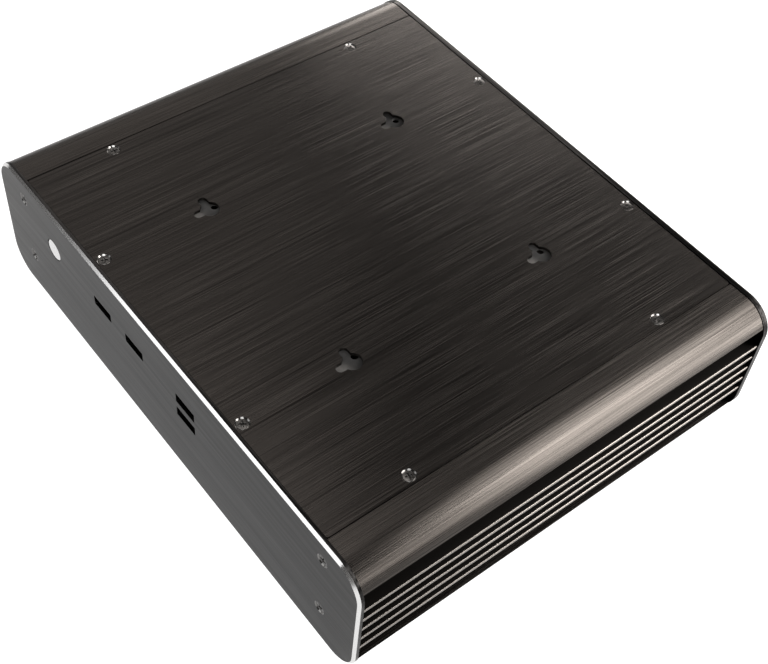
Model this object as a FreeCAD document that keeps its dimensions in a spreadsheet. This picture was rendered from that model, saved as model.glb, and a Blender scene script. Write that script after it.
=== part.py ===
import FreeCAD, Part
import math
import os
import Sketcher

# Fanless htpc case lying on its top cover, underside up
# X runs along the front plate, Y from front to rear, Z up from the floor
document = FreeCAD.newDocument("htpc_case")

# Driving dimensions in millimetres
DIMENSIONS = {
    "case_width": 261,
    "case_depth": 214.5,
    "case_height": 68,
    "corner_radius": 14,
    "plate_thickness": 2.5,
    "plate_proud": 0.3,
    "front_bevel": 1.1,
    "flange_width": 22.75,
    "panel_thickness": 1.5,
    "panel_corner": 1,
    "panel_end_gap": 0.25,
    "side_seam": 0.5,
    "wall_thickness": 8,
    "fin_depth": 17.2,
    "fin_inset": 0.5,
    "fin_pitch": 7.05,
    "fin_thickness": 1.6,
    "fin_tip_round": 0.4,
    "shoulder_height": 8.6,
    "ledge_reach": 8.8,
    "ledge_thickness": 5,
    "cover_thickness": 3,
    "cover_tongue_thickness": 1.5,
    "cover_tongue_reach": 2.3,
    "slide_clearance": 0.1,
    "tray_thickness": 1.2,
    "tray_clearance": 0.4,
    "rail_width": 7.4,
    "keyhole_spacing": 100,
    "keyhole_radius": 4.2,
    "hanging_slot_width": 4,
    "hanging_slot_reach": 5.75,
    "side_screw_inset": 3.6,
    "side_screw_setback": 39.9,
    "end_screw_inset": 3.7,
    "end_screw_setback": 57.4,
    "upper_screw_drop": 11.1,
    "lower_screw_drop": 46.2,
    "screw_radius": 1.4,
    "thread_radius": 1.5,
    "clearance_radius": 1.7,
    "sink_radius": 3,
    "sunk_head_radius": 2.5,
    "sunk_head_clearance": 0.05,
    "sunk_screw_length": 6,
    "pan_head_radius": 2.6,
    "pan_head_height": 1.8,
    "pan_screw_length": 5,
    "cross_reach": 1.5,
    "cross_width": 0.7,
    "cross_depth": 0.7,
    "tapped_depth": 8,
    "blind_floor": 1,
    "tray_screw_inset": 2.9,
    "tray_screw_setback": 14.75,
    "rail_screw_setback": 24,
    "view_hole_radius": 1.7,
    "view_hole_shift": 5.6,
    "button_radius": 5,
    "button_clearance": 0.3,
    "button_setback": 45.3,
    "button_drop": 22.4,
    "button_recess": 0.1,
    "button_flange_radius": 6.2,
    "button_flange_thickness": 1.5,
    "button_stem_radius": 1.6,
    "button_stroke": 1.2,
    "housing_radius": 9,
    "housing_length": 8,
    "housing_back": 1.5,
    "housing_ear_reach": 14,
    "housing_ear_thickness": 3,
    "housing_ear_margin": 1,
    "ear_screw_length": 4.6,
    "ear_thread_depth": 1.8,
    "switch_size": 6,
    "switch_depth": 3.5,
    "plunger_radius": 1.2,
    "plunger_engagement": 0.8,
    "button_board_width": 24,
    "button_board_height": 12,
    "board_thickness": 1.6,
    "socket_slot_width": 13.25,
    "socket_slot_height": 5.1,
    "socket_slot_round": 0.4,
    "left_socket_setback": 86,
    "middle_socket_setback": 110.8,
    "single_socket_drop": 22.1,
    "stack_setback": 148.9,
    "stack_drop": 21.1,
    "stack_pitch": 8.6,
    "socket_width": 13.1,
    "socket_length": 14,
    "socket_wall": 0.3,
    "socket_mouth_width": 12.5,
    "socket_mouth_height": 5.12,
    "tongue_width": 11.1,
    "tongue_thickness": 1.84,
    "tongue_offset": 0.72,
    "tongue_recess": 2,
    "tongue_root": 4,
    "io_board_front": 3,
    "io_board_depth": 24,
    "io_board_margin": 8,
    "socket_roof": 0.54,
    "post_across_flats": 5,
    "post_inset": 3.5,
    "standoff_height": 6.35,
    "board_holes_across": 157.48,
    "board_holes_along": 154.94,
    "board_rear_gap": 11.2,
    "rear_opening_width": 158.75,
    "rear_opening_height": 44.45,
    "rear_opening_drop": 3.8,
    "block_size": 40,
    "block_thickness": 6,
    "block_across": 0,
    "block_setback": 73.55,
    "block_drop": 15.4,
    "block_screw_inset": 4,
    "pipe_radius": 3,
    "pipe_fit": 0.05,
    "pipe_bend_radius": 18,
    "pipe_shift": 9,
    "pipe_wall_run": 46,
    "clamp_length": 30,
    "clamp_height": 22,
    "clamp_cover": 2,
    "clamp_screw_spacing": 14,
}

FIN_STEPS = (-2, -1, 0, 1, 2)
SAME_PLACE = 1e-9
BOTH_WAYS = (-1, 1)
FACING_FRONT = FreeCAD.Rotation(FreeCAD.Vector(1, 0, 0), 90)
FACING_REAR = FreeCAD.Rotation(FreeCAD.Vector(1, 0, 0), -90)
FACING_DOWN = FreeCAD.Rotation(FreeCAD.Vector(1, 0, 0), 180)
FACING_LEFT = FreeCAD.Rotation(FreeCAD.Vector(0, 1, 0), -90)
UPRIGHT = FreeCAD.Rotation()


class Size:
    """A length together with the sheet expression that gives it."""

    def __init__(self, value, text):
        self.value = value
        self.text = text

    def __add__(self, other):
        other = as_size(other)
        return Size(self.value + other.value, f"({self.text} + {other.text})")

    def __sub__(self, other):
        other = as_size(other)
        return Size(self.value - other.value, f"({self.text} - {other.text})")

    def __mul__(self, number):
        other = as_size(number)
        return Size(self.value * other.value, f"({self.text} * {other.text})")

    def __truediv__(self, number):
        return Size(self.value / number, f"({self.text} / {number})")

    def __neg__(self):
        return Size(-self.value, f"(-1 * {self.text})")

    def root(self):
        return Size(math.sqrt(self.value), f"sqrt({self.text})")


def as_size(amount):
    if isinstance(amount, Size):
        return amount
    return Size(float(amount), f"({amount})")


# The sheet that holds the driving dimensions
def fill_sheet():
    sheet = document.addObject("Spreadsheet::Sheet", "Sizes")
    for row, (name, value) in enumerate(DIMENSIONS.items(), start=1):
        sheet.set(f"A{row}", name)
        sheet.set(f"B{row}", str(value))
        sheet.setAlias(f"B{row}", name)
    document.recompute()
    return {name: Size(float(sheet.get(name)), f"Sizes.{name}") for name in DIMENSIONS}


size = fill_sheet()

# Levels and places that several sub-parts share
half_width = size["case_width"] / 2
button_across = size["button_setback"] - half_width
left_socket_across = size["left_socket_setback"] - half_width
middle_socket_across = size["middle_socket_setback"] - half_width
stack_across = size["stack_setback"] - half_width
plate_seat = size["case_depth"] / 2 - size["plate_thickness"]
plate_face = size["case_depth"] / 2
skin_top = size["case_height"] - size["plate_proud"]
skin_bottom = size["plate_proud"]
skin_edge = half_width - size["plate_proud"]
skin_radius = size["corner_radius"] - size["plate_proud"]
flange_edge = half_width - size["flange_width"]
panel_edge = flange_edge - size["side_seam"]
panel_seat = skin_top - size["panel_thickness"]
ledge_edge = flange_edge - size["ledge_reach"]
ledge_under = panel_seat - size["ledge_thickness"]
fin_edge = half_width - size["fin_inset"]
wall_outer = fin_edge - size["fin_depth"]
wall_inner = wall_outer - size["wall_thickness"]
wall_middle = wall_inner + size["wall_thickness"] / 2
tray_top = ledge_under
tray_under = tray_top - size["tray_thickness"]
tray_edge = wall_inner - size["tray_clearance"]
tray_end = plate_seat - size["slide_clearance"]
cover_top = skin_bottom + size["cover_thickness"]
cover_tongue_under = cover_top - size["cover_tongue_thickness"]
cover_tongue_edge = flange_edge + size["cover_tongue_reach"]
upper_screw_level = size["case_height"] - size["upper_screw_drop"]
lower_screw_level = size["case_height"] - size["lower_screw_drop"]
button_level = size["case_height"] - size["button_drop"]
single_level = size["case_height"] - size["single_socket_drop"]
stack_level = size["case_height"] - size["stack_drop"]
lower_stack_level = stack_level - size["stack_pitch"]
stem_end = size["plate_thickness"] + size["housing_length"] - size["button_stroke"] - size["button_clearance"]
switch_back = size["plate_thickness"] + size["housing_length"] + size["switch_depth"]
side_screw_line = panel_edge - size["side_screw_inset"]
side_screw_row = plate_seat - size["side_screw_setback"]
end_screw_line = panel_edge - size["end_screw_setback"]
end_screw_row = plate_seat - size["end_screw_inset"]
tray_screw_line = ledge_edge + size["tray_screw_inset"]
tray_screw_row = plate_seat - size["tray_screw_setback"]
rail_screw_line = ledge_edge - size["rail_screw_setback"]
sunk_head_depth = size["sink_radius"] - size["sunk_head_radius"] - size["sunk_head_clearance"]
board_rear_row = plate_seat - size["board_rear_gap"]
board_front_row = board_rear_row - size["board_holes_along"]
socket_front = -plate_seat
socket_back = socket_front + size["socket_length"]
io_board_level = stack_level + size["socket_mouth_height"] / 2 + size["socket_roof"]
io_board_edge_left = left_socket_across - size["socket_width"] / 2 - size["io_board_margin"]
io_board_edge_right = stack_across + size["socket_width"] / 2 + size["io_board_margin"]
io_board_edge_front = socket_front + size["io_board_front"]
io_board_edge_back = io_board_edge_front + size["io_board_depth"]
io_board_top = io_board_level + size["board_thickness"]
io_post_columns = (io_board_edge_left + size["post_inset"], io_board_edge_right - size["post_inset"])
io_post_rows = (io_board_edge_front + size["post_inset"], io_board_edge_back - size["post_inset"])
pipe_level = tray_under - size["block_drop"] - size["block_thickness"]
pipe_wall_line = wall_inner - size["pipe_radius"]
block_along = board_rear_row - size["block_setback"]
clamp_thickness = size["pipe_radius"] * 2 + size["clamp_cover"]
clamp_thread_depth = size["wall_thickness"] / 2
clamp_screw_length = clamp_thickness + clamp_thread_depth - size["blind_floor"]
clamp_middle = size["pipe_shift"] + size["pipe_bend_radius"] + size["pipe_wall_run"] / 2


# Document helpers
def bind(thing, path, amount):
    thing.setExpression(path, as_size(amount).text)


def new_body(label):
    body = document.addObject("PartDesign::Body", label)
    body.Label = label
    return body


def new_sketch(body, role, offset):
    sketch = body.newObject("Sketcher::SketchObject", body.Name + "_sketch")
    planes = [plane for plane in body.Origin.OriginFeatures if plane.Role == role]
    sketch.AttachmentSupport = [(planes[0], "")]
    sketch.MapMode = "FlatFace"
    bind(sketch, "AttachmentOffset.Base.z", offset)
    return sketch


def fix_point(sketch, geometry, end, x, y):
    for kind, axis, amount in (("DistanceX", -2, x), ("DistanceY", -1, y)):
        if isinstance(amount, Size):
            number = sketch.addConstraint(Sketcher.Constraint(kind, -1, 1, geometry, end, amount.value))
            bind(sketch, f"Constraints[{number}]", amount)
        else:
            sketch.addConstraint(Sketcher.Constraint("PointOnObject", geometry, end, axis))


def number_of(amount):
    return as_size(amount).value


def arc_between(start, end, radius, turn):
    chord = end - start
    rise = math.sqrt(radius ** 2 - chord.Length ** 2 / 4)
    side = FreeCAD.Vector(-chord.y, chord.x, 0).normalize() * turn
    centre = (start + end) / 2 + side * rise
    first, last = (start, end) if turn > 0 else (end, start)
    first_angle = math.atan2(first.y - centre.y, first.x - centre.x)
    last_angle = math.atan2(last.y - centre.y, last.x - centre.x)
    if last_angle < first_angle:
        last_angle += 2 * math.pi
    circle = Part.Circle(centre, FreeCAD.Vector(0, 0, 1), radius)
    return Part.ArcOfCircle(circle, first_angle, last_angle)


# A closed outline of steps (x, y, radius, turn): straight, or an arc that turns left (1) or right (-1)
def outline(sketch, steps):
    ends = []
    for index, (x, y, radius, turn) in enumerate(steps):
        before = steps[index - 1]
        start = FreeCAD.Vector(number_of(before[0]), number_of(before[1]), 0)
        end = FreeCAD.Vector(number_of(x), number_of(y), 0)
        if turn == 0:
            geometry = sketch.addGeometry(Part.LineSegment(start, end), False)
        else:
            geometry = sketch.addGeometry(arc_between(start, end, radius.value, turn), False)
            number = sketch.addConstraint(Sketcher.Constraint("Radius", geometry, radius.value))
            bind(sketch, f"Constraints[{number}]", radius)
        ends.append((geometry, 1, 2) if turn >= 0 else (geometry, 2, 1))
    for index, (x, y, radius, turn) in enumerate(steps):
        geometry, first, last = ends[index]
        following = ends[(index + 1) % len(ends)]
        sketch.addConstraint(Sketcher.Constraint("Coincident", geometry, last, following[0], following[1]))
        fix_point(sketch, geometry, last, x, y)


def straight(points):
    return [(x, y, None, 0) for x, y in points]


# Right-angled corners (x, y, radius), rounded where the radius isn't None
def rounded(corners):
    steps = []
    for index, (x, y, radius) in enumerate(corners):
        if radius is None:
            steps.append((x, y, None, 0))
            continue
        x = as_size(x)
        y = as_size(y)
        before = corners[index - 1]
        after = corners[(index + 1) % len(corners)]
        along = way(before, corners[index])
        away = way(corners[index], after)
        turn = along[0] * away[1] - along[1] * away[0]
        steps.append((x - radius * along[0], y - radius * along[1], None, 0))
        steps.append((x + radius * away[0], y + radius * away[1], radius, turn))
    return steps


def way(start, end):
    across = number_of(end[0]) - number_of(start[0])
    along = number_of(end[1]) - number_of(start[1])
    if abs(across) > abs(along):
        return (int(math.copysign(1, across)), 0)
    return (0, int(math.copysign(1, along)))


def rectangle(left, right, low, high, radius=None):
    return rounded([(left, low, radius), (right, low, radius), (right, high, radius), (left, high, radius)])


def circle(sketch, x, y, radius):
    centre = FreeCAD.Vector(number_of(x), number_of(y), 0)
    shape = Part.Circle(centre, FreeCAD.Vector(0, 0, 1), radius.value)
    geometry = sketch.addGeometry(shape, False)
    number = sketch.addConstraint(Sketcher.Constraint("Radius", geometry, radius.value))
    bind(sketch, f"Constraints[{number}]", radius)
    fix_point(sketch, geometry, 3, x, y)


def pad(body, sketch, length, backward=False):
    feature = body.newObject("PartDesign::Pad", body.Name + "_pad")
    feature.Profile = sketch
    feature.Reversed = backward
    bind(feature, "Length", length)
    document.recompute()
    return feature


def pocket(body, sketch, depth, backward=False):
    feature = body.newObject("PartDesign::Pocket", body.Name + "_pocket")
    feature.Profile = sketch
    feature.Reversed = backward
    if depth is None:
        feature.Type = "ThroughAll"
        feature.Midplane = True
    else:
        bind(feature, "Length", depth)
    document.recompute()
    return feature


def bores(body, role, offset, places, radius, depth, backward=False):
    sketch = new_sketch(body, role, offset)
    for x, y in places:
        circle(sketch, x, y, radius)
    return pocket(body, sketch, depth, backward)


def revolve(body, steps):
    sketch = new_sketch(body, "XZ_Plane", 0)
    outline(sketch, steps)
    feature = body.newObject("PartDesign::Revolution", body.Name + "_turned")
    feature.Profile = sketch
    feature.ReferenceAxis = (sketch, ["V_Axis"])
    feature.Angle = 360
    document.recompute()
    return feature


def sunk_holes(body, role, offset, places, backward=False):
    sketch = new_sketch(body, role, offset)
    for x, y in places:
        circle(sketch, x, y, size["clearance_radius"])
    hole = body.newObject("PartDesign::Hole", body.Name + "_sunk_holes")
    hole.Profile = sketch
    document.recompute()
    hole.ThreadType = "None"
    hole.DepthType = "ThroughAll"
    hole.HoleCutType = "Countersink"
    hole.HoleCutCustomValues = True
    hole.HoleCutCountersinkAngle = 90
    hole.Reversed = backward
    bind(hole, "Diameter", size["clearance_radius"] * 2)
    bind(hole, "HoleCutDiameter", size["sink_radius"] * 2)
    document.recompute()
    return hole


def corners_of(across, along):
    return [(across * side, along * end) for side in BOTH_WAYS for end in BOTH_WAYS]


def copies(label, master, places, rotation):
    links = []
    for x, y, z in places:
        link = document.addObject("App::Link", label + "_copy")
        link.LinkedObject = master
        link.Placement = FreeCAD.Placement(FreeCAD.Vector(), rotation)
        bind(link, "Placement.Base.x", x)
        bind(link, "Placement.Base.y", y)
        bind(link, "Placement.Base.z", z)
        links.append(link)
    group = document.addObject("Part::Compound", label)
    group.Label = label
    group.Links = links
    document.recompute()
    return group


# End plates: thick aluminium with rounded corners, screwed to the ends of the heatsinks
def end_plate(label, seat, face, backward):
    body = new_body(label)
    sketch = new_sketch(body, "XZ_Plane", seat)
    outline(sketch, rectangle(-half_width, half_width, 0, size["case_height"], size["corner_radius"]))
    feature = pad(body, sketch, size["plate_thickness"], backward)
    if not backward:
        bevel_front_edge(body, feature)
    places = [(wall_middle * side, level)
              for side in BOTH_WAYS for level in (upper_screw_level, lower_screw_level)]
    sunk_holes(body, "XZ_Plane", face, places, backward)
    return body


def bevel_front_edge(body, feature):
    fronts = [f"Face{number}" for number, face in enumerate(feature.Shape.Faces, start=1)
              if face.BoundBox.YMax < feature.Shape.BoundBox.YMin + size["plate_thickness"].value / 2]
    bevel = body.newObject("PartDesign::Chamfer", body.Name + "_bevel")
    bevel.Base = (feature, fronts)
    bind(bevel, "Size", size["front_bevel"])
    document.recompute()


def socket_slot(across, level):
    half_slot = size["socket_slot_width"] / 2
    half_rise = size["socket_slot_height"] / 2
    return rectangle(across - half_slot, across + half_slot, level - half_rise, level + half_rise,
                     size["socket_slot_round"])


def front_panel():
    body = end_plate("front_panel", plate_seat, plate_face, False)
    bores(body, "XZ_Plane", plate_face, [(button_across, button_level)],
          size["button_radius"] + size["button_clearance"], size["plate_thickness"])
    sketch = new_sketch(body, "XZ_Plane", plate_face)
    outline(sketch, socket_slot(left_socket_across, single_level))
    outline(sketch, socket_slot(middle_socket_across, single_level))
    outline(sketch, socket_slot(stack_across, stack_level))
    outline(sketch, socket_slot(stack_across, lower_stack_level))
    pocket(body, sketch, size["plate_thickness"])
    ears = [(button_across + size["housing_ear_reach"] * side, button_level) for side in BOTH_WAYS]
    bores(body, "XZ_Plane", plate_seat, ears, size["thread_radius"], size["ear_thread_depth"], True)
    return body


def rear_panel():
    body = end_plate("rear_panel", -plate_seat, -plate_face, True)
    half_opening = size["rear_opening_width"] / 2
    opening_top = tray_under - size["rear_opening_drop"]
    sketch = new_sketch(body, "XZ_Plane", -plate_face)
    outline(sketch, rectangle(-half_opening, half_opening, opening_top - size["rear_opening_height"],
                              opening_top, size["panel_corner"]))
    pocket(body, sketch, size["plate_thickness"], True)
    return body


# Heatsinks: one extruded section with a screw wall, five fins, two shoulders, a ledge and a groove
def heatsink_section():
    shoulder_under = skin_top - size["shoulder_height"]
    shoulder_over = skin_bottom + size["shoulder_height"]
    arc_drop = skin_radius - size["shoulder_height"]
    arc_edge = skin_edge - skin_radius + (skin_radius * skin_radius - arc_drop * arc_drop).root()
    groove_top = cover_top + size["slide_clearance"]
    groove_bottom = cover_tongue_under - size["slide_clearance"]
    groove_edge = cover_tongue_edge + size["slide_clearance"]
    half_fin = size["fin_thickness"] / 2
    section = straight([
        (flange_edge, skin_top), (flange_edge, panel_seat), (ledge_edge, panel_seat),
        (ledge_edge, ledge_under), (wall_inner, ledge_under), (wall_inner, groove_top),
        (groove_edge, groove_top), (groove_edge, groove_bottom), (flange_edge, groove_bottom),
        (flange_edge, skin_bottom), (skin_edge - skin_radius, skin_bottom)])
    section.append((arc_edge, shoulder_over, skin_radius, 1))
    section.extend(straight([(wall_outer, shoulder_over)]))
    for step in FIN_STEPS:
        level = size["case_height"] / 2 + size["fin_pitch"] * step
        section.extend(rounded([
            (wall_outer, level - half_fin, None), (fin_edge, level - half_fin, size["fin_tip_round"]),
            (fin_edge, level + half_fin, size["fin_tip_round"]), (wall_outer, level + half_fin, None)]))
    section.extend(straight([(wall_outer, shoulder_under), (arc_edge, shoulder_under)]))
    section.append((skin_edge - skin_radius, skin_top, skin_radius, 1))
    return section


def right_heatsink():
    body = new_body("right_heatsink")
    sketch = new_sketch(body, "XZ_Plane", plate_seat)
    outline(sketch, heatsink_section())
    pad(body, sketch, plate_seat * 2, True)
    plate_screws = [(wall_middle, level) for level in (upper_screw_level, lower_screw_level)]
    bores(body, "XZ_Plane", plate_seat, plate_screws, size["thread_radius"], size["tapped_depth"])
    bores(body, "XZ_Plane", -plate_seat, plate_screws, size["thread_radius"], size["tapped_depth"], True)
    panel_screws = [(side_screw_line, side_screw_row * end) for end in BOTH_WAYS]
    bores(body, "XY_Plane", panel_seat, panel_screws, size["thread_radius"], size["ledge_thickness"])
    tray_screws = [(tray_screw_line, tray_screw_row * end) for end in BOTH_WAYS]
    bores(body, "XY_Plane", ledge_under, tray_screws, size["thread_radius"],
          size["ledge_thickness"] - size["blind_floor"], True)
    bores(body, "YZ_Plane", wall_inner, clamp_screw_places(), size["thread_radius"], clamp_thread_depth, True)
    return body


def left_heatsink(right):
    mirror = document.addObject("Part::Mirroring", "left_heatsink")
    mirror.Label = "left_heatsink"
    mirror.Source = right
    mirror.Normal = FreeCAD.Vector(1, 0, 0)
    document.recompute()
    return mirror


# Base panel: sheet with four double keyholes on a square
def base_panel():
    body = new_body("base_panel")
    panel_end = plate_seat - size["panel_end_gap"]
    sketch = new_sketch(body, "XY_Plane", panel_seat)
    outline(sketch, rectangle(-panel_edge, panel_edge, -panel_end, panel_end, size["panel_corner"]))
    pad(body, sketch, size["panel_thickness"])
    places = corners_of(size["keyhole_spacing"] / 2, size["keyhole_spacing"] / 2)
    bores(body, "XY_Plane", skin_top, places, size["keyhole_radius"], size["panel_thickness"])
    hang_slots(body, places, across=True)
    hang_slots(body, places, across=False)
    sunk_holes(body, "XY_Plane", skin_top, base_screw_places())
    return body


def hang_slots(body, places, across):
    half_slot = size["hanging_slot_width"] / 2
    reach = size["hanging_slot_reach"] + half_slot
    sketch = new_sketch(body, "XY_Plane", skin_top)
    for x, y in places:
        if across:
            corners = [(x - reach, y - half_slot, half_slot), (x, y - half_slot, None),
                       (x, y + half_slot, None), (x - reach, y + half_slot, half_slot)]
        else:
            corners = [(x - half_slot, y - reach, half_slot), (x + half_slot, y - reach, half_slot),
                       (x + half_slot, y, None), (x - half_slot, y, None)]
        outline(sketch, merge_meeting(rounded(corners)))
    pocket(body, sketch, size["panel_thickness"])


# Two roundings of half a slot's width meet, so the straight step between them goes
def merge_meeting(steps):
    kept = []
    for index, step in enumerate(steps):
        before = steps[index - 1]
        meets = all(abs(number_of(step[axis]) - number_of(before[axis])) < SAME_PLACE for axis in (0, 1))
        if step[3] != 0 or not meets:
            kept.append(step)
    return kept


def base_screw_places():
    return corners_of(side_screw_line, side_screw_row) + corners_of(end_screw_line, end_screw_row)


# Top cover: plate with a tongue along each side that slides in the heatsinks' grooves
def top_cover():
    body = new_body("top_cover")
    sketch = new_sketch(body, "XZ_Plane", tray_end)
    outline(sketch, straight([
        (-panel_edge, skin_bottom), (panel_edge, skin_bottom), (panel_edge, cover_tongue_under),
        (cover_tongue_edge, cover_tongue_under), (cover_tongue_edge, cover_top),
        (-cover_tongue_edge, cover_top), (-cover_tongue_edge, cover_tongue_under),
        (-panel_edge, cover_tongue_under)]))
    pad(body, sketch, tray_end * 2, True)
    return body


# Tray: sheet under the ledges and rails that carries the boards
def board_tray():
    body = new_body("board_tray")
    sketch = new_sketch(body, "XY_Plane", tray_under)
    outline(sketch, rectangle(-tray_edge, tray_edge, -tray_end, tray_end, size["panel_corner"]))
    pad(body, sketch, size["tray_thickness"])
    bores(body, "XY_Plane", tray_top, tray_screw_places(), size["clearance_radius"], size["tray_thickness"])
    view_holes = [(x - size["view_hole_shift"], y + size["view_hole_shift"])
                  for x, y in corners_of(size["keyhole_spacing"] / 2, size["keyhole_spacing"] / 2)]
    bores(body, "XY_Plane", tray_top, view_holes, size["view_hole_radius"], size["tray_thickness"])
    return body


def tray_screw_places():
    return corners_of(tray_screw_line, tray_screw_row) + corners_of(rail_screw_line, end_screw_row)


# Rails: square bars between the ledges that take the end screws of the base panel
def rail(label, end):
    body = new_body(label)
    rail_edge = ledge_edge - size["slide_clearance"]
    outer = plate_seat * end
    inner = outer - size["rail_width"] * end
    low, high = (outer, inner) if end < 0 else (inner, outer)
    sketch = new_sketch(body, "XY_Plane", ledge_under)
    outline(sketch, rectangle(-rail_edge, rail_edge, low, high))
    pad(body, sketch, size["ledge_thickness"])
    row = end_screw_row * end
    bores(body, "XY_Plane", panel_seat, [(end_screw_line * side, row) for side in BOTH_WAYS],
          size["thread_radius"], size["ledge_thickness"])
    bores(body, "XY_Plane", ledge_under, [(rail_screw_line * side, row) for side in BOTH_WAYS],
          size["thread_radius"], size["ledge_thickness"] - size["blind_floor"], True)
    return body


# Screws: turned blanks with a cross recess, head outward along Z
def sunk_screw():
    body = new_body("sunk_screw")
    cone_end = -(size["sunk_head_radius"] - size["screw_radius"])
    revolve(body, straight([
        (0, 0), (0, -size["sunk_screw_length"]), (size["screw_radius"], -size["sunk_screw_length"]),
        (size["screw_radius"], cone_end), (size["sunk_head_radius"], 0)]))
    cross_recess(body, 0)
    return body


def pan_screw(label, length):
    body = new_body(label)
    revolve(body, straight([
        (0, size["pan_head_height"]), (0, -length), (size["screw_radius"], -length),
        (size["screw_radius"], 0), (size["pan_head_radius"], 0),
        (size["pan_head_radius"], size["pan_head_height"])]))
    return body


def cross_recess(body, level):
    reach = size["cross_reach"]
    half = size["cross_width"] / 2
    sketch = new_sketch(body, "XY_Plane", level)
    outline(sketch, straight([
        (-reach, -half), (-half, -half), (-half, -reach), (half, -reach), (half, -half), (reach, -half),
        (reach, half), (half, half), (half, reach), (-half, reach), (-half, half), (-reach, half)]))
    pocket(body, sketch, size["cross_depth"])


def base_panel_screws(master):
    level = skin_top - sunk_head_depth
    return copies("base_panel_screws", master, [(x, y, level) for x, y in base_screw_places()], UPRIGHT)


def plate_screws(label, master, end, rotation):
    along = (plate_face - sunk_head_depth) * end
    places = [(wall_middle * side, along, level)
              for side in BOTH_WAYS for level in (upper_screw_level, lower_screw_level)]
    return copies(label, master, places, rotation)


def tray_screws(master):
    return copies("tray_screws", master, [(x, y, tray_under) for x, y in tray_screw_places()], FACING_DOWN)


# Power button: round cap with a flange behind the plate and a stem that presses the switch
def power_button():
    body = new_body("power_button")
    flange_front = size["plate_thickness"] + size["button_recess"]
    flange_back = flange_front + size["button_flange_thickness"]
    revolve(body, straight([
        (0, -size["button_recess"]), (0, -stem_end), (size["button_stem_radius"], -stem_end),
        (size["button_stem_radius"], -flange_back), (size["button_flange_radius"], -flange_back),
        (size["button_flange_radius"], -flange_front), (size["button_radius"], -flange_front),
        (size["button_radius"], -size["button_recess"])]))
    return body


def button_housing():
    body = new_body("button_housing")
    hollow = size["button_flange_radius"] + size["button_clearance"]
    stem_hole = size["button_stem_radius"] + size["button_clearance"]
    back = size["plate_thickness"] + size["housing_length"]
    inside = back - size["housing_back"]
    revolve(body, straight([
        (hollow, -size["plate_thickness"]), (hollow, -inside), (stem_hole, -inside), (stem_hole, -back),
        (size["housing_radius"], -back), (size["housing_radius"], -size["plate_thickness"])]))
    half_ear = size["pan_head_radius"] + size["housing_ear_margin"]
    ear_end = size["housing_ear_reach"] + half_ear
    sketch = new_sketch(body, "XY_Plane", -size["plate_thickness"] - size["housing_ear_thickness"])
    outline(sketch, rectangle(-ear_end, ear_end, -half_ear, half_ear, size["panel_corner"]))
    pad(body, sketch, size["housing_ear_thickness"])
    bores(body, "XY_Plane", -size["plate_thickness"], [(0, 0)], hollow, size["housing_ear_thickness"])
    bores(body, "XY_Plane", -size["plate_thickness"],
          [(size["housing_ear_reach"] * side, 0) for side in BOTH_WAYS],
          size["clearance_radius"], size["housing_ear_thickness"])
    return body


def button_board():
    body = new_body("button_board")
    level = -(switch_back + size["board_thickness"])
    half_board = size["button_board_width"] / 2
    half_rise = size["button_board_height"] / 2
    sketch = new_sketch(body, "XY_Plane", level)
    outline(sketch, rectangle(-half_board, half_board, -half_rise, half_rise))
    pad(body, sketch, size["board_thickness"])
    return body


def power_switch():
    body = new_body("power_switch")
    level = -switch_back
    half_switch = size["switch_size"] / 2
    sketch = new_sketch(body, "XY_Plane", level)
    outline(sketch, rectangle(-half_switch, half_switch, -half_switch, half_switch))
    pad(body, sketch, size["switch_depth"])
    travel = size["plunger_engagement"] + size["button_stroke"] + size["button_clearance"]
    bores(body, "XY_Plane", level + size["switch_depth"], [(0, 0)],
          size["plunger_radius"] + size["button_clearance"], travel)
    return body


def switch_plunger():
    body = new_body("switch_plunger")
    bottom = size["plate_thickness"] + size["housing_length"] + size["plunger_engagement"]
    revolve(body, straight([
        (0, -stem_end), (0, -bottom), (size["plunger_radius"], -bottom),
        (size["plunger_radius"], -stem_end)]))
    return body


def face_the_front(thing):
    thing.Placement = FreeCAD.Placement(FreeCAD.Vector(), FACING_FRONT)
    bind(thing, "Placement.Base.x", button_across)
    bind(thing, "Placement.Base.y", -plate_face)
    bind(thing, "Placement.Base.z", button_level)
    document.recompute()
    return thing


def button_screws(master):
    along = -(plate_seat - size["housing_ear_thickness"])
    places = [(button_across + size["housing_ear_reach"] * side, along, button_level)
              for side in BOTH_WAYS]
    return copies("button_screws", master, places, FACING_REAR)


# Sockets: folded steel boxes behind the slots, each with a plastic root and tongues
def mouth(across, level):
    half_mouth = size["socket_mouth_width"] / 2
    half_rise = size["socket_mouth_height"] / 2
    return rectangle(across - half_mouth, across + half_mouth, level - half_rise, level + half_rise)


def socket_shell(label, across, levels):
    body = new_body(label)
    half_socket = size["socket_width"] / 2
    bottom = levels[-1] - size["socket_mouth_height"] / 2 - size["socket_wall"]
    sketch = new_sketch(body, "XZ_Plane", -socket_front)
    outline(sketch, rectangle(across - half_socket, across + half_socket, bottom, io_board_level))
    pad(body, sketch, size["socket_length"], True)
    sketch = new_sketch(body, "XZ_Plane", -socket_front)
    for level in levels:
        outline(sketch, mouth(across, level))
    pocket(body, sketch, size["socket_length"])
    return body


def socket_tongue(label, across, level):
    body = new_body(label)
    half_tongue = size["tongue_width"] / 2
    root_front = socket_back - size["tongue_root"]
    tongue_low = level - size["socket_mouth_height"] / 2 + size["tongue_offset"]
    sketch = new_sketch(body, "XZ_Plane", -socket_back)
    outline(sketch, mouth(across, level))
    pad(body, sketch, size["tongue_root"])
    sketch = new_sketch(body, "XZ_Plane", -root_front)
    outline(sketch, rectangle(across - half_tongue, across + half_tongue, tongue_low,
                              tongue_low + size["tongue_thickness"]))
    pad(body, sketch, size["socket_length"] - size["tongue_root"] - size["tongue_recess"])
    return body


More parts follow.
